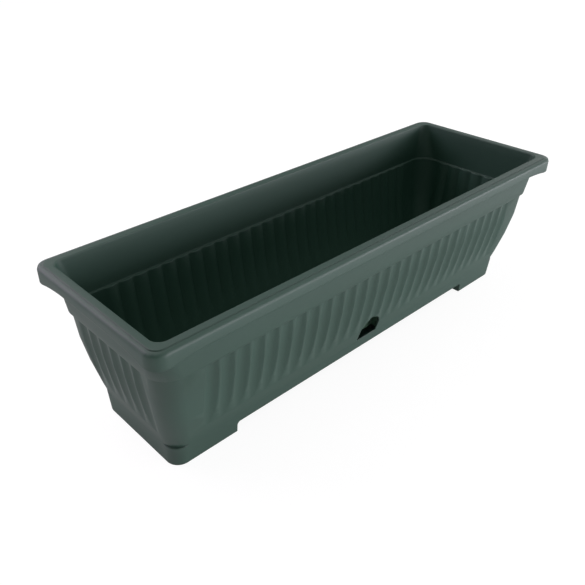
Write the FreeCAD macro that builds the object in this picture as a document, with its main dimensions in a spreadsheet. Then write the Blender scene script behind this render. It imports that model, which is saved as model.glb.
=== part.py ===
"""Rectangular window-box trough with a loose reservoir grid standing inside it.

The length runs along X, the width along Y, and Z points up. The origin is on the ground,
under the middle of the trough. The wall with the filling mouth faces -Y.
"""

import FreeCAD
import Part

import math
import os

import Sketcher

SIZES = {
    # Rim
    "rim_length": 600.0,
    "rim_width": 200.0,
    "overall_height": 170.0,
    "rim_corner": 15.0,
    "mouth_inset": 13.6,
    "mouth_corner": 11.0,
    "mouth_bevel": 0.8,
    "ring_inset": 5.6,
    "ring_corner": 10.0,
    "ring_step": 0.7,
    "rim_shoulder": 3.6,
    "shoulder_bands": 2,
    "apron_foot_height": 153.4,
    "apron_skin": 2.2,
    "side_relief_rise": 4.0,
    "end_relief_rise": 5.6,
    "relief_margin": 2.0,
    "side_relief_run": 46.0,
    "end_relief_run": 46.0,
    "relief_cut_depth": 8.0,
    # Plain band under the apron
    "band_foot_height": 124.5,
    "band_foot_end_inset": 13.0,
    "band_foot_side_inset": 14.0,
    "band_foot_corner": 24.0,
    "band_head_inset": 11.2,
    "band_head_corner": 13.0,
    # Fluted body, from shoulder down to ankle
    "shoulder_height": 122.5,
    "shoulder_end_inset": 15.4,
    "shoulder_side_inset": 16.6,
    "shoulder_corner": 23.6,
    "ankle_height": 23.5,
    "ankle_end_inset": 31.4,
    "ankle_side_inset": 35.8,
    "ankle_corner": 19.0,
    "ledge_height": 124.3,
    # Flutes
    "flute_pitch": 17.9,
    "flute_radius": 12.5,
    "flute_top_height": 121.3,
    "flute_top_depth": 2.1,
    "flute_end_height": 40.0,
    "flute_foot_height": 38.5,
    "flute_tail": 10.0,
    "bulge_overrun": 4.0,
    # Plinth, feet and floor
    "foot_end_inset": 32.4,
    "foot_side_inset": 37.6,
    "foot_corner": 14.0,
    "foot_length": 75.9,
    "foot_rise": 12.5,
    "foot_round": 4.0,
    "wall": 2.2,
    # Filling mouth in the wall that faces -Y
    "filler_width": 32.0,
    "filler_sill_height": 25.0,
    "filler_crown_height": 53.0,
    "filler_cut_depth": 50.0,
    # Reservoir grid
    "grid_length": 536.0,
    "grid_width": 129.0,
    "grid_corner": 17.0,
    "grid_height": 38.3,
    "seat_gap": 0.3,
    "grid_skin": 2.0,
    "slot_length": 40.0,
    "slot_width": 3.0,
    "slot_pitch": 32.0,
    "slot_row_pitch": 50.0,
    "cup_centre": 230.0,
    "cup_top_width": 52.0,
    "cup_foot_width": 43.0,
    "cup_corner": 10.0,
    "cup_slot_width": 4.0,
    "cup_slot_length": 26.0,
    "post_width": 8.0,
    "post_place": 96.0,
    "post_offset": 34.0,
    "guard_width": 40.0,
    "guard_skin": 1.6,
    "guard_face_inset": 44.0,
    "guard_foot_height": 27.0,
    "guard_head_height": 60.0,
    "guard_foot_front_inset": 38.0,
    "guard_head_front_inset": 31.5,
    # Ratios and counts
    "ogee_power": 1.6,
    "side_flutes": 27,
    "end_flutes": 6,
    "slot_columns": 12,
    "belly_bands": 3,
    "band_bands": 4,
}

doc = FreeCAD.newDocument("window_box_trough")
sheet = doc.addObject("Spreadsheet::Sheet", "Sizes")
for row, (alias, value) in enumerate(SIZES.items(), start=1):
    sheet.set(f"A{row}", alias)
    sheet.set(f"B{row}", str(value))
    sheet.setAlias(f"B{row}", alias)
doc.recompute()

HALF_LENGTH = "Sizes.rim_length / 2"
HALF_WIDTH = "Sizes.rim_width / 2"


def value_of(expression):
    """The number that an expression over the sheet gives now."""
    return float(sheet.evalExpression(expression))


def origin_part(body, role):
    """The body's own origin plane or axis with this role."""
    return next(item for item in body.Origin.OriginFeatures if item.Role == role)


def new_body(name):
    """An empty body with this name."""
    body = doc.addObject("PartDesign::Body", name)
    body.Label = name
    return body


def new_sketch(body, name, role="XY_Plane", height="0"):
    """A sketch on one of the body's origin planes, moved along the plane's normal."""
    sketch = body.newObject("Sketcher::SketchObject", name)
    sketch.AttachmentSupport = [(origin_part(body, role), "")]
    sketch.MapMode = "FlatFace"
    sketch.setExpression("AttachmentOffset.Base.z", height)
    return sketch


def bind(sketch, index, name, expression):
    """Names one constraint and ties it to an expression."""
    sketch.renameConstraint(index, name)
    sketch.setExpression(f"Constraints.{name}", expression)


def add_rounded_outline(sketch, prefix, half_length, half_width, corner):
    """A rectangle with round corners, centred on the sketch's origin."""
    along, across, bend = (value_of(text) for text in (half_length, half_width, corner))
    straight, reach = along - bend, across - bend
    up = FreeCAD.Vector(0, 0, 1)
    first = sketch.GeometryCount
    for quarter, (side, end) in enumerate(((1, 1), (-1, 1), (-1, -1), (1, -1))):
        circle = Part.Circle(FreeCAD.Vector(side * straight, end * reach, 0), up, bend)
        start = quarter * math.pi / 2
        sketch.addGeometry(Part.ArcOfCircle(circle, start, start + math.pi / 2))
    corners = [(straight, across), (-straight, across), (-along, reach), (-along, -reach),
               (-straight, -across), (straight, -across), (along, -reach), (along, reach)]
    for line in range(4):
        start, finish = corners[2 * line], corners[2 * line + 1]
        sketch.addGeometry(Part.LineSegment(FreeCAD.Vector(*start, 0), FreeCAD.Vector(*finish, 0)))
    for line in range(4):
        this, following = first + line, first + (line + 1) % 4
        edge = first + 4 + line
        sketch.addConstraint(Sketcher.Constraint("Tangent", this, 2, edge, 1))
        sketch.addConstraint(Sketcher.Constraint("Tangent", edge, 2, following, 1))
        sketch.addConstraint(Sketcher.Constraint("Vertical" if line % 2 else "Horizontal", edge))
        if line:
            sketch.addConstraint(Sketcher.Constraint("Equal", first, this))
    sketch.addConstraint(Sketcher.Constraint("Symmetric", first, 3, first + 2, 3, -1, 1))
    top, left, bottom, right = (first + 4 + line for line in range(4))
    length = sketch.addConstraint(Sketcher.Constraint("DistanceX", left, 1, right, 1, 2 * along))
    bind(sketch, length, prefix + "length", f"2 * ({half_length})")
    width = sketch.addConstraint(Sketcher.Constraint("DistanceY", bottom, 1, top, 1, 2 * across))
    bind(sketch, width, prefix + "width", f"2 * ({half_width})")
    radius = sketch.addConstraint(Sketcher.Constraint("Radius", first, bend))
    bind(sketch, radius, prefix + "corner", corner)


def add_polygon(sketch, points):
    """A closed outline whose corners are pairs of expressions, each measured from the origin."""
    places = [tuple(value_of(text) for text in pair) for pair in points]
    first = sketch.GeometryCount
    count = len(places)
    for number, place in enumerate(places):
        following = places[(number + 1) % count]
        sketch.addGeometry(Part.LineSegment(FreeCAD.Vector(*place, 0), FreeCAD.Vector(*following, 0)))
    for number, (place, pair) in enumerate(zip(places, points)):
        line, following = first + number, first + (number + 1) % count
        sketch.addConstraint(Sketcher.Constraint("Coincident", line, 2, following, 1))
        for kind, axis, name in (("DistanceX", 0, "across"), ("DistanceY", 1, "up")):
            index = sketch.addConstraint(Sketcher.Constraint(kind, -1, 1, line, 1, place[axis]))
            bind(sketch, index, f"{name}_{first}_{number}", pair[axis])


def rounded_section(body, name, height, end_inset, side_inset, corner):
    """A level outline of the trough, set in from the rim's outer outline."""
    sketch = new_sketch(body, name, height=height)
    add_rounded_outline(sketch, "", f"{HALF_LENGTH} - ({end_inset})",
                        f"{HALF_WIDTH} - ({side_inset})", corner)
    return sketch


def loft(body, name, sections, kind="AdditiveLoft"):
    """A ruled solid, or a ruled hollow, through level sections from the first to the last."""
    feature = body.newObject(f"PartDesign::{kind}", name)
    feature.Profile = sections[0]
    feature.Sections = sections[1:]
    feature.Ruled = True
    doc.recompute()
    return feature


def pad(body, name, sketch, length):
    """Material from a sketch along its normal."""
    feature = body.newObject("PartDesign::Pad", name)
    feature.Profile = sketch
    feature.setExpression("Length", length)
    doc.recompute()
    return feature


def pocket(body, name, sketch, length, flip=False, both_ways=False):
    """A cut from a sketch, which must take material away."""
    before = len(body.Shape.Faces)
    feature = body.newObject("PartDesign::Pocket", name)
    feature.Profile = sketch
    feature.Reversed = flip
    feature.Midplane = both_ways
    feature.setExpression("Length", length)
    doc.recompute()
    if len(feature.Shape.Faces) <= before:
        raise RuntimeError(f"{name} cuts nothing")
    return feature


def ogee(top, foot, share):
    """The inset at a share of the way up from the ankle to the shoulder."""
    return f"Sizes.{top} + (Sizes.{foot} - Sizes.{top}) * (1 - {share}) ^ Sizes.ogee_power"


class FluteRun:
    """A row of upright round flutes in two opposite walls, made by one scalloped cutter per wall.

    The cutter leans outward as the walls do, so each valley is a straight line and the flutes
    run out by themselves where the wall sweeps in under them.
    """

    def __init__(self, half_span, top, foot, count, along_x):
        rise = "(Sizes.flute_end_height - Sizes.ankle_height)"
        share = f"{rise} / (Sizes.shoulder_height - Sizes.ankle_height)"
        self.head_inset = f"(Sizes.{top} + Sizes.flute_top_depth)"
        self.end_inset = f"({ogee(top, foot, share)})"
        self.drop = "(Sizes.flute_top_height - Sizes.flute_end_height)"
        self.lean = f"atan(({self.end_inset} - {self.head_inset}) / {self.drop})"
        self.half_span, self.count, self.along_x = half_span, count, along_x

    def cutter_sketch(self, body, name, radius):
        """The scalloped outline, square to the leaning valleys, at the flutes' lower end."""
        tail = "Sizes.flute_tail"
        sketch = body.newObject("Sketcher::SketchObject", name)
        sketch.AttachmentSupport = [(origin_part(body, "XY_Plane"), "")]
        sketch.MapMode = "FlatFace"
        turn_axis = FreeCAD.Vector(1, 0, 0) if self.along_x else FreeCAD.Vector(0, -1, 0)
        turn = FreeCAD.Rotation(turn_axis, 1)
        sketch.AttachmentOffset = FreeCAD.Placement(FreeCAD.Vector(), turn)
        sketch.setExpression("AttachmentOffset.Rotation.Angle", self.lean)
        sketch.setExpression("AttachmentOffset.Base.y" if self.along_x else "AttachmentOffset.Base.x",
                             f"{self.end_inset} - {self.half_span} - Sizes.flute_radius * cos({self.lean})"
                             f" + {tail} * sin({self.lean})")
        sketch.setExpression("AttachmentOffset.Base.z",
                             f"Sizes.flute_end_height - Sizes.flute_radius * sin({self.lean})"
                             f" - {tail} * cos({self.lean})")
        self.add_scallops(sketch, radius)
        return sketch

    def add_scallops(self, sketch, radius):
        """Equal arcs side by side, closed by a straight back on the line of their centres."""
        count, pitch = round(value_of(self.count)), value_of("Sizes.flute_pitch")
        bend = value_of(radius)
        spread = math.asin(pitch / 2 / bend)
        cusp = bend * math.cos(spread)
        middle = math.pi / 2 if self.along_x else 0.0

        def place(along, inward):
            """A point of the sketch from its place along the row and its depth."""
            return FreeCAD.Vector(along, inward, 0) if self.along_x else FreeCAD.Vector(inward, along, 0)

        for number in range(count):
            centre = place((number - (count - 1) / 2) * pitch, 0)
            circle = Part.Circle(centre, FreeCAD.Vector(0, 0, 1), bend)
            sketch.addGeometry(Part.ArcOfCircle(circle, middle - spread, middle + spread))
        half_run = count * pitch / 2
        corners = [place(half_run, cusp), place(half_run, 0), place(-half_run, 0), place(-half_run, cusp)]
        for start, finish in zip(corners[:-1], corners[1:]):
            sketch.addGeometry(Part.LineSegment(start, finish))
        near, far = (2, 1) if self.along_x else (1, 2)
        row_line = -1 if self.along_x else -2
        level = "Horizontal" if self.along_x else "Vertical"
        upright = "Vertical" if self.along_x else "Horizontal"
        for number in range(count):
            sketch.addConstraint(Sketcher.Constraint("PointOnObject", number, 3, row_line))
            if number:
                sketch.addConstraint(Sketcher.Constraint("Coincident", number - 1, far, number, near))
                sketch.addConstraint(Sketcher.Constraint("Equal", 0, number))
                sketch.addConstraint(Sketcher.Constraint(level, 0, near, number, near))
        last = count - 1
        right, back, left = count, count + 1, count + 2
        sketch.addConstraint(Sketcher.Constraint("Coincident", last, far, right, 1))
        sketch.addConstraint(Sketcher.Constraint("Coincident", right, 2, back, 1))
        sketch.addConstraint(Sketcher.Constraint("Coincident", back, 2, left, 1))
        sketch.addConstraint(Sketcher.Constraint("Coincident", left, 2, 0, near))
        sketch.addConstraint(Sketcher.Constraint(upright, right))
        sketch.addConstraint(Sketcher.Constraint(upright, left))
        sketch.addConstraint(Sketcher.Constraint("PointOnObject", right, 2, row_line))
        sketch.addConstraint(Sketcher.Constraint("PointOnObject", left, 1, row_line))
        sketch.addConstraint(Sketcher.Constraint("Symmetric", 0, near, last, far, -2 if self.along_x else -1))
        bind(sketch, sketch.addConstraint(Sketcher.Constraint("Radius", 0, bend)), "scallop", radius)
        reach = "DistanceX" if self.along_x else "DistanceY"
        run = sketch.addConstraint(Sketcher.Constraint(reach, back, 2, back, 1, count * pitch))
        bind(sketch, run, "run", f"{self.count} * Sizes.flute_pitch")

    def cut(self, body, name, radius, overrun):
        """Cuts the row from one wall of a body and mirrors it to the opposite wall."""
        sketch = self.cutter_sketch(body, name + "Outline", radius)
        length = f"{self.drop} / cos({self.lean}) + Sizes.flute_tail + {overrun}"
        row = pocket(body, name + "Cut", sketch, length, flip=True)
        faces = len(body.Shape.Faces)
        other = body.newObject("PartDesign::Mirrored", name + "Mirrored")
        other.Originals = [row]
        other.MirrorPlane = (origin_part(body, "XZ_Plane" if self.along_x else "YZ_Plane"), [""])
        body.Tip = other
        doc.recompute()
        if len(body.Shape.Faces) < faces + round(value_of(self.count)):
            raise RuntimeError(f"{name} isn't cut in both walls")


SIDE_FLUTES = FluteRun(HALF_WIDTH, "shoulder_side_inset", "ankle_side_inset", "Sizes.side_flutes", True)
END_FLUTES = FluteRun(HALF_LENGTH, "shoulder_end_inset", "ankle_end_inset", "Sizes.end_flutes", False)


def ogee_sections(body, name, skin, foot_height, head_height):
    """Stations of the swept-in body, moved inward by the skin, closer than the eye can tell."""
    ankle, shoulder = "Sizes.ankle_height", "Sizes.shoulder_height"
    start, bands = "Sizes.flute_foot_height", round(value_of("Sizes.belly_bands"))
    heights = [ankle] + [f"{start} + ({shoulder} - {start}) * {band} / Sizes.belly_bands"
                         for band in range(bands + 1)]
    sections = []
    for number, height in enumerate(heights):
        share = f"({height} - {ankle}) / ({shoulder} - {ankle})"
        corner = f"Sizes.ankle_corner + (Sizes.shoulder_corner - Sizes.ankle_corner) * {share} - {skin}"
        place = {0: foot_height, bands + 1: head_height}.get(number, height)
        sections.append(rounded_section(
            body, f"{name}{number}", place,
            f"{ogee('shoulder_end_inset', 'ankle_end_inset', share)} + {skin}",
            f"{ogee('shoulder_side_inset', 'ankle_side_inset', share)} + {skin}", corner))
    return sections


def band_sections(body, name, foot, head):
    """Stations between two level outlines, each given as height, end inset, side inset and corner."""
    bands = round(value_of("Sizes.band_bands"))
    sections = []
    for band in range(bands + 1):
        sizes = [f"{low} + ({high} - ({low})) * {band} / Sizes.band_bands" for low, high in zip(foot, head)]
        sections.append(rounded_section(body, f"{name}{band}", *sizes))
    return sections


def shoulder_sections(body, foot):
    """Level outlines of the rim plate, which follow the quarter round of its shoulder."""
    bands = round(value_of("Sizes.shoulder_bands"))
    sections = []
    for band in range(bands + 1):
        turn = f"(90 deg * {band} / Sizes.shoulder_bands)"
        inset = f"Sizes.rim_shoulder * (1 - cos({turn}))"
        sections.append(rounded_section(body, f"Shoulder{band}", f"{foot} + Sizes.rim_shoulder * sin({turn})",
                                        inset, inset, f"Sizes.rim_corner - {inset}"))
    return sections


def build_outer_form():
    """The trough's outside as a solid block, with its flutes, rim, feet and filling mouth."""
    body = new_body("OuterForm")
    loft(body, "FlutedBody", ogee_sections(body, "Belly", "0", "Sizes.ankle_height",
                                           "Sizes.shoulder_height"))
    SIDE_FLUTES.cut(body, "SideFlute", "Sizes.flute_radius", "0")
    END_FLUTES.cut(body, "EndFlute", "Sizes.flute_radius", "0")
    foot = rounded_section(body, "PlinthFoot", "0", "Sizes.foot_end_inset",
                           "Sizes.foot_side_inset", "Sizes.foot_corner")
    head = rounded_section(body, "PlinthHead", "Sizes.ankle_height", "Sizes.ankle_end_inset",
                           "Sizes.ankle_side_inset", "Sizes.foot_corner")
    loft(body, "Plinth", [foot, head])
    step = rounded_section(body, "BandStep", "Sizes.shoulder_height", "Sizes.shoulder_end_inset",
                           "Sizes.shoulder_side_inset", "Sizes.shoulder_corner")
    crown = "(Sizes.overall_height - Sizes.ring_step)"
    plate_foot = f"({crown} - Sizes.rim_shoulder)"
    band = band_sections(
        body, "Band", ("Sizes.band_foot_height", "Sizes.band_foot_end_inset",
                       "Sizes.band_foot_side_inset", "Sizes.band_foot_corner"),
        (plate_foot, "Sizes.band_head_inset", "Sizes.band_head_inset", "Sizes.band_head_corner"))
    loft(body, "PlainBand", [step] + band)
    loft(body, "RimPlate", shoulder_sections(body, plate_foot))
    apron = new_sketch(body, "ApronOutline", height="Sizes.apron_foot_height")
    add_rounded_outline(apron, "outer_", HALF_LENGTH, HALF_WIDTH, "Sizes.rim_corner")
    add_rounded_outline(apron, "inner_", f"{HALF_LENGTH} - Sizes.apron_skin",
                        f"{HALF_WIDTH} - Sizes.apron_skin", "Sizes.rim_corner - Sizes.apron_skin")
    pad(body, "Apron", apron, f"{plate_foot} - Sizes.apron_foot_height")
    channel = new_sketch(body, "RimChannelOutline", height=plate_foot)
    add_rounded_outline(channel, "outer_", f"{HALF_LENGTH} - Sizes.apron_skin",
                        f"{HALF_WIDTH} - Sizes.apron_skin", "Sizes.rim_corner - Sizes.apron_skin")
    add_rounded_outline(channel, "inner_", f"{HALF_LENGTH} - Sizes.band_head_inset",
                        f"{HALF_WIDTH} - Sizes.band_head_inset", "Sizes.band_head_corner")
    pocket(body, "RimChannel", channel, "Sizes.rim_shoulder - Sizes.apron_skin", flip=True)
    ring = rounded_section(body, "RingOutline", crown, "Sizes.ring_inset", "Sizes.ring_inset",
                           "Sizes.ring_corner")
    pad(body, "RimRing", ring, "Sizes.ring_step")
    cut_apron_relief(body, "SideRelief", "XZ_Plane", HALF_LENGTH, HALF_WIDTH,
                     "Sizes.side_relief_rise", "Sizes.side_relief_run")
    cut_apron_relief(body, "EndRelief", "YZ_Plane", HALF_WIDTH, HALF_LENGTH,
                     "Sizes.end_relief_rise", "Sizes.end_relief_run")
    cut_foot_gap(body)
    cut_filling_mouth(body)
    return body


def add_arched_outline(sketch, half_width, low, spring, top, run):
    """An opening with upright sides up to the spring, arcs over the run, and a level top."""
    texts = (half_width, low, spring, top, run)
    reach, foot, turn, head, bend = (value_of(text) for text in texts)
    drop = head - turn
    radius = (bend ** 2 + drop ** 2) / (2 * drop)
    angle = math.atan2(radius - drop, bend)
    up = FreeCAD.Vector(0, 0, 1)
    flat = reach - bend
    places = [(reach, foot), (reach, turn), (flat, head), (-flat, head), (-reach, turn), (-reach, foot)]
    for start, finish in ((0, 1), (2, 3), (4, 5), (5, 0)):
        sketch.addGeometry(Part.LineSegment(FreeCAD.Vector(*places[start], 0),
                                            FreeCAD.Vector(*places[finish], 0)))
    right = Part.Circle(FreeCAD.Vector(flat, head - radius, 0), up, radius)
    left = Part.Circle(FreeCAD.Vector(-flat, head - radius, 0), up, radius)
    sketch.addGeometry(Part.ArcOfCircle(right, angle, math.pi / 2))
    sketch.addGeometry(Part.ArcOfCircle(left, math.pi / 2, math.pi - angle))
    for first, first_end, second, second_end in ((4, 2, 1, 1), (1, 2, 5, 1)):
        sketch.addConstraint(Sketcher.Constraint("Tangent", first, first_end, second, second_end))
    for first, first_end, second, second_end in ((0, 2, 4, 1), (5, 2, 2, 1), (2, 2, 3, 1), (3, 2, 0, 1)):
        sketch.addConstraint(Sketcher.Constraint("Coincident", first, first_end, second, second_end))
    for kind, line in (("Vertical", 0), ("Horizontal", 1), ("Vertical", 2), ("Horizontal", 3)):
        sketch.addConstraint(Sketcher.Constraint(kind, line))
    for name, kind, line, end, place, text in (
            ("reach_right", "DistanceX", 0, 1, reach, half_width),
            ("reach_left", "DistanceX", 2, 2, -reach, f"-({half_width})"),
            ("foot", "DistanceY", 0, 1, foot, low),
            ("spring_right", "DistanceY", 0, 2, turn, spring),
            ("spring_left", "DistanceY", 2, 1, turn, spring),
            ("head", "DistanceY", 1, 1, head, top),
            ("flat_right", "DistanceX", 1, 1, flat, f"{half_width} - {run}"),
            ("flat_left", "DistanceX", 1, 2, -flat, f"{run} - ({half_width})")):
        index = sketch.addConstraint(Sketcher.Constraint(kind, -1, 1, line, end, place))
        bind(sketch, index, name, text)


def cut_apron_relief(body, name, plane, half_run, half_span, rise, run):
    """Lifts the apron's lower edge between its corners, on two opposite sides."""
    reach = f"({half_run} - Sizes.rim_corner - Sizes.relief_margin)"
    foot = "Sizes.apron_foot_height"
    for side in (-1, 1):
        sketch = new_sketch(body, f"{name}Sketch{side + 2}", plane, f"{side} * {half_span}")
        add_arched_outline(sketch, reach, f"{foot} - Sizes.apron_skin", foot, f"{foot} + {rise}", run)
        pocket(body, f"{name}{side + 2}", sketch, "Sizes.relief_cut_depth", flip=side < 0)


def cut_foot_gap(body):
    """Lifts the underside between the two feet, with round upper corners."""
    half_gap = f"({HALF_LENGTH} - Sizes.foot_end_inset - Sizes.foot_length)"
    sketch = new_sketch(body, "FootGap", "XZ_Plane")
    add_arched_outline(sketch, half_gap, "-Sizes.wall", "Sizes.foot_rise - Sizes.foot_round",
                       "Sizes.foot_rise", "Sizes.foot_round")
    pocket(body, "FootGapCut", sketch, "Sizes.rim_width", both_ways=True)


def cut_filling_mouth(body):
    """Cuts the arched mouth through the wall that faces -Y."""
    sketch = new_sketch(body, "FillingMouth", "XZ_Plane", HALF_WIDTH)
    half, crown, sill = "(Sizes.filler_width / 2)", "Sizes.filler_crown_height", "Sizes.filler_sill_height"
    reach, top, low = value_of(half), value_of(crown), value_of(sill)
    spring = top - reach
    places = [(-reach, spring), (-reach, low), (reach, low), (reach, spring)]
    for start, finish in zip(places[:-1], places[1:]):
        sketch.addGeometry(Part.LineSegment(FreeCAD.Vector(*start, 0), FreeCAD.Vector(*finish, 0)))
    arch = Part.Circle(FreeCAD.Vector(0, spring, 0), FreeCAD.Vector(0, 0, 1), reach)
    sketch.addGeometry(Part.ArcOfCircle(arch, 0, math.pi))
    for first, second in ((0, 1), (1, 2)):
        sketch.addConstraint(Sketcher.Constraint("Coincident", first, 2, second, 1))
    sketch.addConstraint(Sketcher.Constraint("Tangent", 2, 2, 3, 1))
    sketch.addConstraint(Sketcher.Constraint("Tangent", 3, 2, 0, 1))
    sketch.addConstraint(Sketcher.Constraint("Horizontal", 1))
    sketch.addConstraint(Sketcher.Constraint("Vertical", 0))
    sketch.addConstraint(Sketcher.Constraint("PointOnObject", 3, 3, -2))
    bind(sketch, sketch.addConstraint(Sketcher.Constraint("Radius", 3, reach)), "arch", half)
    index = sketch.addConstraint(Sketcher.Constraint("DistanceY", -1, 1, 1, 1, low))
    bind(sketch, index, "sill", sill)
    index = sketch.addConstraint(Sketcher.Constraint("DistanceY", -1, 1, 3, 3, spring))
    bind(sketch, index, "spring", f"{crown} - {half}")
    pocket(body, "FillingMouthCut", sketch, "Sizes.filler_cut_depth", flip=False)


def build_hollow_form():
    """The space inside the trough as a solid, with the flutes showing as bulges in its walls."""
    body = new_body("HollowForm")
    skin = "Sizes.wall"
    loft(body, "HollowBody", ogee_sections(body, "Hollow", skin, f"Sizes.ankle_height - {skin}",
                                           "Sizes.ledge_height"))
    SIDE_FLUTES.cut(body, "SideBulge", f"Sizes.flute_radius + {skin}", "Sizes.bulge_overrun")
    END_FLUTES.cut(body, "EndBulge", f"Sizes.flute_radius + {skin}", "Sizes.bulge_overrun")
    band = band_sections(
        body, "HollowBand", ("Sizes.ledge_height", f"Sizes.band_foot_end_inset + {skin}",
                             f"Sizes.band_foot_side_inset + {skin}", f"Sizes.band_foot_corner - {skin}"),
        ("Sizes.overall_height - Sizes.mouth_bevel", "Sizes.mouth_inset", "Sizes.mouth_inset",
         "Sizes.mouth_corner"))
    lip = "Sizes.mouth_inset - 2 * Sizes.mouth_bevel"
    mouth = rounded_section(body, "MouthHead", "Sizes.overall_height + Sizes.mouth_bevel", lip, lip,
                            "Sizes.mouth_corner + Sizes.mouth_bevel")
    loft(body, "HollowMouth", band + [mouth])
    well = [
        rounded_section(body, "WellFoot", skin, f"Sizes.foot_end_inset + {skin}",
                        f"Sizes.foot_side_inset + {skin}", f"Sizes.foot_corner - {skin}"),
        rounded_section(body, "WellHead", f"Sizes.ankle_height - {skin}", f"Sizes.ankle_end_inset + {skin}",
                        f"Sizes.ankle_side_inset + {skin}", f"Sizes.foot_corner - {skin}"),
    ]
    loft(body, "FootWells", well)
    half_floor = f"({HALF_LENGTH} - Sizes.foot_end_inset - Sizes.foot_length + {skin})"
    floor = f"Sizes.foot_rise + {skin}"
    sketch = new_sketch(body, "FloorBlock", "XZ_Plane")
    add_polygon(sketch, [(f"-{half_floor}", "0"), (half_floor, "0"),
                         (half_floor, floor), (f"-{half_floor}", floor)])
    pocket(body, "FloorCut", sketch, "Sizes.rim_width", both_ways=True)
    return body


def build_trough():
    """The moulded trough: the outer form less the hollow form."""
    outer, hollow = build_outer_form(), build_hollow_form()
    trough = doc.addObject("Part::Cut", "trough")
    trough.Base, trough.Tool = outer, hollow
    trough.Label = "trough"
    doc.recompute()
    return trough


def add_primitive(body, kind, name, place, sizes, turn=None):
    """A box, cylinder or cone on the body's ground plane, placed and sized by expressions."""
    feature = body.newObject(f"PartDesign::{kind}", name)
    feature.AttachmentSupport = [(origin_part(body, "XY_Plane"), "")]
    feature.MapMode = "FlatFace"
    if turn is not None:
        feature.AttachmentOffset = FreeCAD.Placement(FreeCAD.Vector(), turn)
    for axis, expression in zip("xyz", place):
        feature.setExpression(f"AttachmentOffset.Base.{axis}", expression)
    for name_of_size, expression in sizes.items():
        feature.setExpression(name_of_size, expression)
    doc.recompute()
    return feature


def cup_section(body, name, centre, height, width, corner):
    """A level square with its corners cut off, centred on the trough's long middle line."""
    sketch = new_sketch(body, name, height=height)
    sketch.setExpression("AttachmentOffset.Base.x", centre)
    far, near = f"({width}) / 2", f"(({width}) / 2 - ({corner}))"
    places = ((far, near), (near, far), (f"-{near}", far), (f"-({far})", near), (f"-({far})", f"-{near}"),
              (f"-{near}", f"-({far})"), (near, f"-({far})"), (far, f"-{near}"))
    add_polygon(sketch, places)
    return sketch


def add_wick_cups(body):
    """Two tapered cups that hang from the plate and stand in the feet, with a wetting cross below."""
    skin, floor, head = "Sizes.grid_skin", "(Sizes.wall + Sizes.seat_gap)", "Sizes.grid_height"
    foot, top, corner = "Sizes.cup_foot_width", "Sizes.cup_top_width", "Sizes.cup_corner"
    for number, side in enumerate((-1, 1)):
        centre = f"{side} * Sizes.cup_centre"
        loft(body, f"Cup{number}", [cup_section(body, f"CupFoot{number}", centre, floor, foot, corner),
                                    cup_section(body, f"CupHead{number}", centre, head, top, corner)])
        inner, low = f"{corner} - {skin}", f"{floor} + {skin}"
        loft(body, f"CupHollow{number}",
             [cup_section(body, f"CupFloor{number}", centre, low, f"{foot} - 2 * {skin}", inner),
              cup_section(body, f"CupMouth{number}", centre, head, f"{top} - 2 * {skin}", inner)],
             "SubtractiveLoft")
        length, width = "Sizes.cup_slot_length", "Sizes.cup_slot_width"
        for name, along, across in (("Long", length, width), ("Cross", width, length)):
            add_primitive(body, "SubtractiveBox", f"CupSlot{name}{number}",
                          (f"{centre} - {along} / 2", f"-{across} / 2", f"{floor} - {skin}"),
                          {"Length": along, "Width": across, "Height": f"3 * {skin}"})


def add_guard(body):
    """The hood behind the filling mouth: open at the front and below, closed to the soil."""
    skin, half = "Sizes.guard_skin", HALF_WIDTH
    face = f"(Sizes.guard_face_inset - {half})"
    front_low = f"(Sizes.guard_foot_front_inset - {half})"
    front_high = f"(Sizes.guard_head_front_inset - {half})"
    low, high = "Sizes.guard_foot_height", "Sizes.guard_head_height"
    sketch = new_sketch(body, "GuardProfile", "YZ_Plane", "-Sizes.guard_width / 2")
    add_polygon(sketch, [(f"{face} + {skin}", low), (f"{face} + {skin}", high),
                         (front_high, high), (front_low, low)])
    pad(body, "Guard", sketch, "Sizes.guard_width")
    sketch = new_sketch(body, "GuardHollowProfile", "YZ_Plane", f"-Sizes.guard_width / 2 + {skin}")
    lower = f"{low} - {skin}"
    add_polygon(sketch, [(face, lower), (face, f"{high} - {skin}"), (f"-{half}", f"{high} - {skin}"),
                         (f"-{half}", lower)])
    pocket(body, "GuardHollow", sketch, f"Sizes.guard_width - 2 * {skin}", flip=True)


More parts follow.
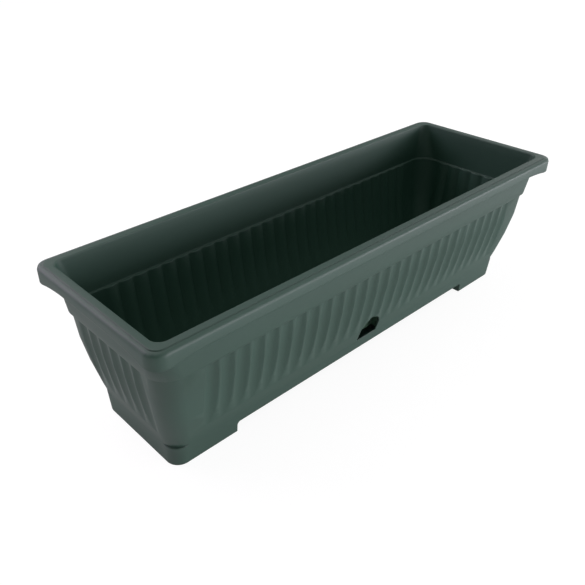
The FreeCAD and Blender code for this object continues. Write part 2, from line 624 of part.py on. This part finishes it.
def build_reservoir_grid():
    """The loose false bottom: slotted plate, wick cups, posts and guard."""
    body = new_body("reservoir_grid")
    skin = "Sizes.grid_skin"
    outline = new_sketch(body, "GridOutline", height=f"Sizes.grid_height - {skin}")
    add_rounded_outline(outline, "", "Sizes.grid_length / 2", "Sizes.grid_width / 2", "Sizes.grid_corner")
    pad(body, "GridPlate", outline, skin)
    floor = "(Sizes.foot_rise + Sizes.wall + Sizes.seat_gap)"
    for number, (end, side) in enumerate(((-1, -1), (-1, 1), (1, -1), (1, 1))):
        add_primitive(body, "AdditiveBox", f"Post{number}",
                      (f"{end} * Sizes.post_place - Sizes.post_width / 2",
                       f"{side} * Sizes.post_offset - Sizes.post_width / 2", floor),
                      {"Length": "Sizes.post_width", "Width": "Sizes.post_width",
                       "Height": f"Sizes.grid_height - {floor}"})
    add_wick_cups(body)
    add_guard(body)
    slots = new_sketch(body, "SlotColumn", height="Sizes.grid_height")
    start = "(-(Sizes.slot_columns - 1) / 2 * Sizes.slot_pitch)"
    for side in (-1, 1):
        centre = f"{side} * Sizes.slot_row_pitch / 2"
        near, far = f"{centre} - Sizes.slot_length / 2", f"{centre} + Sizes.slot_length / 2"
        left, right = f"{start} - Sizes.slot_width / 2", f"{start} + Sizes.slot_width / 2"
        add_polygon(slots, [(left, near), (right, near), (right, far), (left, far)])
    column = pocket(body, "SlotCut", slots, skin)
    columns = body.newObject("PartDesign::LinearPattern", "SlotColumns")
    columns.Originals = [column]
    columns.Direction = (origin_part(body, "X_Axis"), [""])
    columns.setExpression("Length", "(Sizes.slot_columns - 1) * Sizes.slot_pitch")
    columns.setExpression("Occurrences", "Sizes.slot_columns")
    body.Tip = columns
    doc.recompute()
    return body


def main():
    """Builds every piece, checks it and writes it out."""
    pieces = [build_trough(), build_reservoir_grid()]
    doc.recompute()
    for item in doc.Objects:
        if {"Invalid", "Error"} & set(item.State):
            raise RuntimeError(f"{item.Name} failed: {item.State}")
    os.makedirs("parts", exist_ok=True)
    for piece in pieces:
        shape = piece.Shape
        if shape.isNull() or not shape.isValid() or len(shape.Solids) != 1:
            raise RuntimeError(f"{piece.Label} is not one sound solid")
    for piece in pieces:
        box = piece.Shape.BoundBox
        print(f"{piece.Label}: {piece.Shape.Volume / 1000:.1f} cm3, {len(piece.Shape.Faces)} faces, "
              f"{box.XLength:.1f} x {box.YLength:.1f} x {box.ZLength:.1f} mm")
        piece.Shape.exportStep(f"parts/{piece.Label}.step")


main()
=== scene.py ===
"""Visual model of a fluted window-box planter with a loose reservoir grid, set in a plain studio."""

import logging
import math
from dataclasses import dataclass
from enum import Enum
from typing import Any, Sequence

import bpy
from mathutils import Matrix, Vector

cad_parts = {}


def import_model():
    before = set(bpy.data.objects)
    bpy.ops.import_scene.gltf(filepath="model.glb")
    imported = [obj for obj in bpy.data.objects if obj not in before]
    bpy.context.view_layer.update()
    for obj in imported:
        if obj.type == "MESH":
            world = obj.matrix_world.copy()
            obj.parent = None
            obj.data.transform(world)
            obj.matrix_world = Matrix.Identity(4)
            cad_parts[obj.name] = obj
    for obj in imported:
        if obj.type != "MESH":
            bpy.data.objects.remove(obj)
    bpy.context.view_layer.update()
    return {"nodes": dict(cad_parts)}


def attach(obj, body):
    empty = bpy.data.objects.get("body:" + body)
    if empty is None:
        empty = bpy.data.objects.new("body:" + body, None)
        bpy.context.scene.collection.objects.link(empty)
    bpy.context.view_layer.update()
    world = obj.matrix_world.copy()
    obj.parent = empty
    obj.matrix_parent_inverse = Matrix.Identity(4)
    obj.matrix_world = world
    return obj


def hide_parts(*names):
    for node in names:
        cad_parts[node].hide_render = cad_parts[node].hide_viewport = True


LOG = logging.getLogger("planter")
MILLIMETRE = 0.001
WHITE = (1.0, 1.0, 1.0, 1.0)

# Sockets of a Mix node that mixes colours.
MIX_FACTOR, MIX_FIRST, MIX_SECOND, MIX_RESULT = 0, 6, 7, 2


class Body(Enum):
    """The CAD bodies that pieces ride on."""

    BOX = "box"
    GRID = "grid"


def linear(hex_colour: str) -> tuple[float, float, float, float]:
    """Turns an sRGB hex value to linear light.

    Args:
        hex_colour: Six hex digits, such as "4e5e5b".

    Returns:
        Red, green, blue and an alpha of one.
    """
    channels = [int(hex_colour[place:place + 2], 16) / 255 for place in (0, 2, 4)]
    red, green, blue = (value / 12.92 if value <= 0.04045 else ((value + 0.055) / 1.055) ** 2.4
                        for value in channels)
    return red, green, blue, 1.0


def add_node(tree: bpy.types.NodeTree, kind: str, settings: dict[str, Any] | None = None,
             links: dict[str | int, bpy.types.NodeSocket] | None = None,
             **values: Any) -> bpy.types.Node:
    """Adds one node with its settings, input values and links.

    Args:
        tree: The node tree to add to.
        kind: The node's type name.
        settings: Attributes of the node itself.
        links: Input sockets by name or number, each with the output that feeds it.
        **values: Input values by socket name, with underscores for spaces.

    Returns:
        The new node.
    """
    node = tree.nodes.new(kind)
    for name, value in (settings or {}).items():
        setattr(node, name, value)
    for name, value in values.items():
        node.inputs[name.replace("_", " ")].default_value = value
    for name, output in (links or {}).items():
        tree.links.new(output, node.inputs[name])
    return node


def larger(tree: bpy.types.NodeTree, first: bpy.types.NodeSocket,
           second: bpy.types.NodeSocket) -> bpy.types.NodeSocket:
    """The larger of two values."""
    return add_node(tree, "ShaderNodeMath", {"operation": "MAXIMUM"},
                    {0: first, 1: second}).outputs[0]


@dataclass(frozen=True)
class MouldedPolypropylene:
    """Injection-moulded polypropylene with a fine spark-eroded grain.

    The grain scatters the light, so edges show soft highlights and flats stay nearly matt. The
    colour and the sheen drift a little where the melt flowed, which is drawn out along the box.
    Edges are shaded as if rounded, and the grain is drawn coarser than the real 0.1 mm so that it
    shows in the render.
    """

    name: str
    colour: str
    flow_colour: str
    roughness: float
    specular: float = 0.7
    refraction: float = 1.5
    edge_round_mm: float = 1.8
    edge_samples: int = 6
    flow_length_mm: float = 90.0
    flow_stretch: tuple[float, float, float] = (0.35, 1.0, 1.0)
    flow_detail: float = 3.0
    flow_fineness: float = 0.55
    colour_drift: tuple[float, float] = (0.35, 0.7)
    sheen_drift: tuple[float, float] = (0.3, 0.75)
    smoother_by: float = 0.04
    rougher_by: float = 0.05
    grain_mm: float = 0.9
    grain_detail: float = 2.0
    grain_height_mm: float = 0.02
    grain_strength: float = 0.35

    def material(self) -> bpy.types.Material:
        """Makes the material.

        Returns:
            The material, named for its plastic.
        """
        material = bpy.data.materials.new(self.name)
        material.use_nodes = True
        tree = material.node_tree
        tree.nodes.clear()
        place = add_node(tree, "ShaderNodeTexCoord").outputs["Object"]
        flow = self.flow(tree, place)
        share = add_node(tree, "ShaderNodeMapRange", links={"Value": flow},
                         From_Min=self.colour_drift[0],
                         From_Max=self.colour_drift[1]).outputs["Result"]
        colour = add_node(tree, "ShaderNodeMix", {"data_type": "RGBA"}, {MIX_FACTOR: share})
        colour.inputs[MIX_FIRST].default_value = linear(self.colour)
        colour.inputs[MIX_SECOND].default_value = linear(self.flow_colour)
        sheen = add_node(tree, "ShaderNodeMapRange", links={"Value": flow},
                         From_Min=self.sheen_drift[0], From_Max=self.sheen_drift[1],
                         To_Min=self.roughness - self.smoother_by,
                         To_Max=self.roughness + self.rougher_by).outputs["Result"]
        shader = add_node(tree, "ShaderNodeBsdfPrincipled",
                          links={"Base Color": colour.outputs[MIX_RESULT], "Roughness": sheen,
                                 "Normal": self.surface(tree, place)},
                          IOR=self.refraction, Metallic=0.0, Specular_IOR_Level=self.specular)
        add_node(tree, "ShaderNodeOutputMaterial", links={"Surface": shader.outputs["BSDF"]})
        return material

    def flow(self, tree: bpy.types.NodeTree, place: bpy.types.NodeSocket) -> bpy.types.NodeSocket:
        """Adds the marks that the melt leaves.

        Args:
            tree: The node tree to add to.
            place: The point on the piece.

        Returns:
            How strongly the melt marked that point.
        """
        stretched = add_node(tree, "ShaderNodeMapping", links={"Vector": place},
                             Scale=self.flow_stretch).outputs["Vector"]
        return add_node(tree, "ShaderNodeTexNoise", links={"Vector": stretched},
                        Scale=1 / (self.flow_length_mm * MILLIMETRE), Detail=self.flow_detail,
                        Roughness=self.flow_fineness).outputs["Fac"]

    def surface(self, tree: bpy.types.NodeTree,
                place: bpy.types.NodeSocket) -> bpy.types.NodeSocket:
        """Adds the grain over softly rounded edges.

        Args:
            tree: The node tree to add to.
            place: The point on the piece.

        Returns:
            The direction that the surface faces there.
        """
        grain = add_node(tree, "ShaderNodeTexNoise", links={"Vector": place},
                         Scale=1 / (self.grain_mm * MILLIMETRE),
                         Detail=self.grain_detail).outputs["Fac"]
        edge = add_node(tree, "ShaderNodeBevel", {"samples": self.edge_samples},
                        Radius=self.edge_round_mm * MILLIMETRE).outputs["Normal"]
        return add_node(tree, "ShaderNodeBump", links={"Height": grain, "Normal": edge},
                        Strength=self.grain_strength,
                        Distance=self.grain_height_mm * MILLIMETRE).outputs["Normal"]


BOX_PLASTIC = MouldedPolypropylene("moulded_polypropylene_box", "224437", "284a3d", 0.55)
# Painted light: the grid's greens are drawn lighter than the box's plastic, so that its guard, in
# shade behind the filling mouth, shows brighter.
GRID_PLASTIC_PAINTED_LIGHTER = MouldedPolypropylene("moulded_polypropylene_grid_painted_lighter", "35543f", "3b5c47", 0.48)


@dataclass(frozen=True)
class MouldedPiece:
    """A moulded piece that takes its form from a CAD node and gets the mould's blended surface.

    Edges that turn by more than the crease, in degrees, stay sharp.
    """

    node_name: str
    body: Body
    finish: MouldedPolypropylene
    weld_mm: float = 0.01
    crease: float = 50.0

    def build(self, nodes: dict[str, bpy.types.Object]) -> bpy.types.Object:
        """Welds a copy of the node, blends its slight facets and dresses it.

        Args:
            nodes: The CAD nodes by name.

        Returns:
            The finished piece.
        """
        node = nodes[self.node_name]
        piece = bpy.data.objects.new(f"{self.node_name}_moulding", node.data.copy())
        bpy.context.scene.collection.objects.link(piece)
        self.weld(piece)
        piece.data.materials.clear()
        piece.data.materials.append(self.finish.material())
        blend = piece.modifiers.new("even_blend", "WEIGHTED_NORMAL")
        blend.keep_sharp = True
        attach(piece, self.body.value)
        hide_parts(self.node_name)
        return piece

    def weld(self, piece: bpy.types.Object) -> None:
        """Joins the loose triangles and marks the true edges.

        Args:
            piece: The copy to weld.
        """
        bpy.ops.object.select_all(action="DESELECT")
        bpy.context.view_layer.objects.active = piece
        piece.select_set(True)
        bpy.ops.object.mode_set(mode="EDIT")
        bpy.ops.mesh.select_all(action="SELECT")
        bpy.ops.mesh.remove_doubles(threshold=self.weld_mm * MILLIMETRE)
        bpy.ops.object.mode_set(mode="OBJECT")
        if piece.data.has_custom_normals:
            bpy.ops.mesh.customdata_custom_splitnormals_clear()
        bpy.ops.object.shade_smooth_by_angle(angle=math.radians(self.crease))


@dataclass(frozen=True)
class Trough(MouldedPiece):
    """The fluted box with its rim, plinth, feet and filling mouth."""

    node_name: str = "trough"
    body: Body = Body.BOX
    finish: MouldedPolypropylene = BOX_PLASTIC


@dataclass(frozen=True)
class ReservoirGrid(MouldedPiece):
    """The loose slotted plate with its wick cups, posts and guard."""

    node_name: str = "reservoir_grid"
    body: Body = Body.GRID
    finish: MouldedPolypropylene = GRID_PLASTIC_PAINTED_LIGHTER


@dataclass(frozen=True)
class Lamp:
    """One soft studio lamp, placed and sized in metres."""

    name: str
    place: tuple[float, float, float]
    size: tuple[float, float]
    watts: float
    tint: str
    aim: tuple[float, float, float] = (0.0, 0.0, 0.1)

    def build(self) -> None:
        """Adds the lamp, turned to its aim."""
        data = bpy.data.lights.new(self.name, "AREA")
        data.shape = "RECTANGLE"
        data.size, data.size_y = self.size
        data.energy = self.watts
        data.color = linear(self.tint)[:3]
        lamp = bpy.data.objects.new(self.name, data)
        bpy.context.scene.collection.objects.link(lamp)
        way = Vector(self.aim) - Vector(self.place)
        lamp.matrix_world = (Matrix.Translation(Vector(self.place))
                             @ way.to_track_quat("-Z", "Y").to_matrix().to_4x4())


@dataclass(frozen=True)
class Studio:
    """A white paper floor before a white backdrop, a soft ceiling, and lamps round the box.

    The glow shares say how much of the paper is seen, or mirrored, as plain white. The spans are
    heights of a direction, from 0 at the horizon to 1 overhead.
    """

    floor_size: float = 12.0
    paper_colour: str = "f4f4f4"
    paper_glow: float = 1.1
    seen_glow_share: float = 0.84
    mirrored_glow_share: float = 0.25
    ceiling_level: float = 0.8
    ceiling_span: tuple[float, float] = (0.45, 0.95)
    backdrop_span: tuple[float, float] = (0.1, 0.3)
    lamps: Sequence[Lamp] = (
        Lamp("front_softbox", (1.6, -2.4, 0.44), (3.2, 0.8), 73.0, "fdf4ff"),
        Lamp("back_softbox", (-1.0, 1.8, 1.2), (1.9, 1.1), 23.0, "ffe4ff"),
        Lamp("rim_lamp", (-0.1, 1.3, 1.25), (0.7, 0.6), 4.6, "ffffff"),
        Lamp("right_softbox", (2.2, 0.3, 1.7), (2.2, 1.6), 10.0, "fff4ff"),
        Lamp("right_fill", (2.5, 0.3, 0.5), (1.4, 0.8), 6.0, "ffffff"),
    )

    def build(self) -> None:
        """Adds the floor, the world and the lamps."""
        bpy.ops.object.select_all(action="DESELECT")
        bpy.ops.mesh.primitive_plane_add(size=self.floor_size)
        floor = bpy.context.object
        floor.name = "studio_floor"
        floor.data.materials.append(self.paper())
        self.build_world()
        for lamp in self.lamps:
            lamp.build()

    def paper(self) -> bpy.types.Material:
        """Makes white seamless paper that looks white but for the box's soft shadow.

        Returns:
            The material. Its glow is only seen and mirrored, and lights nothing.
        """
        material = bpy.data.materials.new("seamless_paper")
        material.use_nodes = True
        tree = material.node_tree
        tree.nodes.clear()
        diffuse = add_node(tree, "ShaderNodeBsdfDiffuse", Color=linear(self.paper_colour))
        glow = add_node(tree, "ShaderNodeEmission", Color=WHITE, Strength=self.paper_glow)
        ray = add_node(tree, "ShaderNodeLightPath").outputs
        seen = add_node(tree, "ShaderNodeMapRange", links={"Value": ray["Is Camera Ray"]},
                        To_Max=self.seen_glow_share).outputs["Result"]
        mirror = larger(tree, ray["Is Glossy Ray"], ray["Is Transmission Ray"])
        mirrored = add_node(tree, "ShaderNodeMapRange", links={"Value": mirror},
                            To_Max=self.mirrored_glow_share).outputs["Result"]
        mix = add_node(tree, "ShaderNodeMixShader",
                       links={0: larger(tree, seen, mirrored), 1: diffuse.outputs[0],
                              2: glow.outputs[0]})
        add_node(tree, "ShaderNodeOutputMaterial", links={"Surface": mix.outputs[0]})
        return material

    def build_world(self) -> None:
        """Makes a ceiling that lights the box, and a backdrop that is only seen and mirrored."""
        world = bpy.data.worlds.new("studio_world")
        bpy.context.scene.world = world
        world.use_nodes = True
        tree = world.node_tree
        tree.nodes.clear()
        way = add_node(tree, "ShaderNodeTexCoord").outputs["Generated"]
        height = add_node(tree, "ShaderNodeSeparateXYZ", links={"Vector": way}).outputs["Z"]
        ceiling = add_node(tree, "ShaderNodeMapRange", {"interpolation_type": "SMOOTHSTEP"},
                           {"Value": height}, From_Min=self.ceiling_span[0],
                           From_Max=self.ceiling_span[1], To_Min=0.0,
                           To_Max=self.ceiling_level).outputs["Result"]
        backdrop = add_node(tree, "ShaderNodeMapRange", {"interpolation_type": "SMOOTHSTEP"},
                            {"Value": height}, From_Min=self.backdrop_span[0],
                            From_Max=self.backdrop_span[1], To_Min=1.0,
                            To_Max=0.0).outputs["Result"]
        ray = add_node(tree, "ShaderNodeLightPath").outputs
        mirror = larger(tree, ray["Is Glossy Ray"], ray["Is Transmission Ray"])
        mirrored = add_node(tree, "ShaderNodeMath", {"operation": "MULTIPLY"},
                            {0: mirror, 1: backdrop}).outputs[0]
        level = larger(tree, ray["Is Camera Ray"], larger(tree, mirrored, ceiling))
        back = add_node(tree, "ShaderNodeBackground", links={"Strength": level}, Color=WHITE)
        add_node(tree, "ShaderNodeOutputWorld", links={"Surface": back.outputs[0]})


@dataclass(frozen=True)
class PhotoCamera:
    """The photograph's camera, found by fitting the box's edges. Angles are in degrees."""

    place_mm: tuple[float, float, float] = (-498.48, -449.71, 480.17)
    azimuth: float = -41.83
    down: float = 32.58
    roll: float = -0.65
    focal_px: float = 669.7
    centre_x_px: float = 265.43
    frame_px: float = 585.0
    sensor_mm: float = 36.0
    near_m: float = 0.02
    far_m: float = 40.0

    def build(self) -> None:
        """Adds the camera and makes it the scene's own."""
        data = bpy.data.cameras.new("photo_camera")
        data.sensor_fit = "HORIZONTAL"
        data.sensor_width = self.sensor_mm
        data.lens = self.focal_px * self.sensor_mm / self.frame_px
        data.shift_x = (self.frame_px / 2 - self.centre_x_px) / self.frame_px
        data.clip_start, data.clip_end = self.near_m, self.far_m
        turn, tip, roll = (math.radians(value) for value in (self.azimuth, self.down, self.roll))
        ahead = Vector((-math.sin(turn) * math.cos(tip), math.cos(turn) * math.cos(tip),
                        -math.sin(tip)))
        right = Vector((math.cos(turn), math.sin(turn), 0.0))
        above = right.cross(ahead)
        right, above = (right * math.cos(roll) + above * math.sin(roll),
                        above * math.cos(roll) - right * math.sin(roll))
        camera = bpy.data.objects.new("photo_camera", data)
        bpy.context.scene.collection.objects.link(camera)
        pose = Matrix((right, above, -ahead)).transposed().to_4x4()
        pose.translation = Vector(self.place_mm) * MILLIMETRE
        camera.matrix_world = pose
        bpy.context.scene.camera = camera


def main() -> None:
    """Builds the planter and its studio, and reports each piece."""
    logging.basicConfig(level=logging.INFO, format="%(name)s: %(message)s")
    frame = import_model()
    bpy.context.scene.view_settings.view_transform = "Standard"
    PhotoCamera().build()
    LOG.info("camera placed")
    for moulding in (Trough(), ReservoirGrid()):
        piece = moulding.build(frame["nodes"])
        LOG.info("%s: %d faces", piece.name, len(piece.data.polygons))
    Studio().build()
    LOG.info("studio built")


if __name__ == "__main__":
    main()
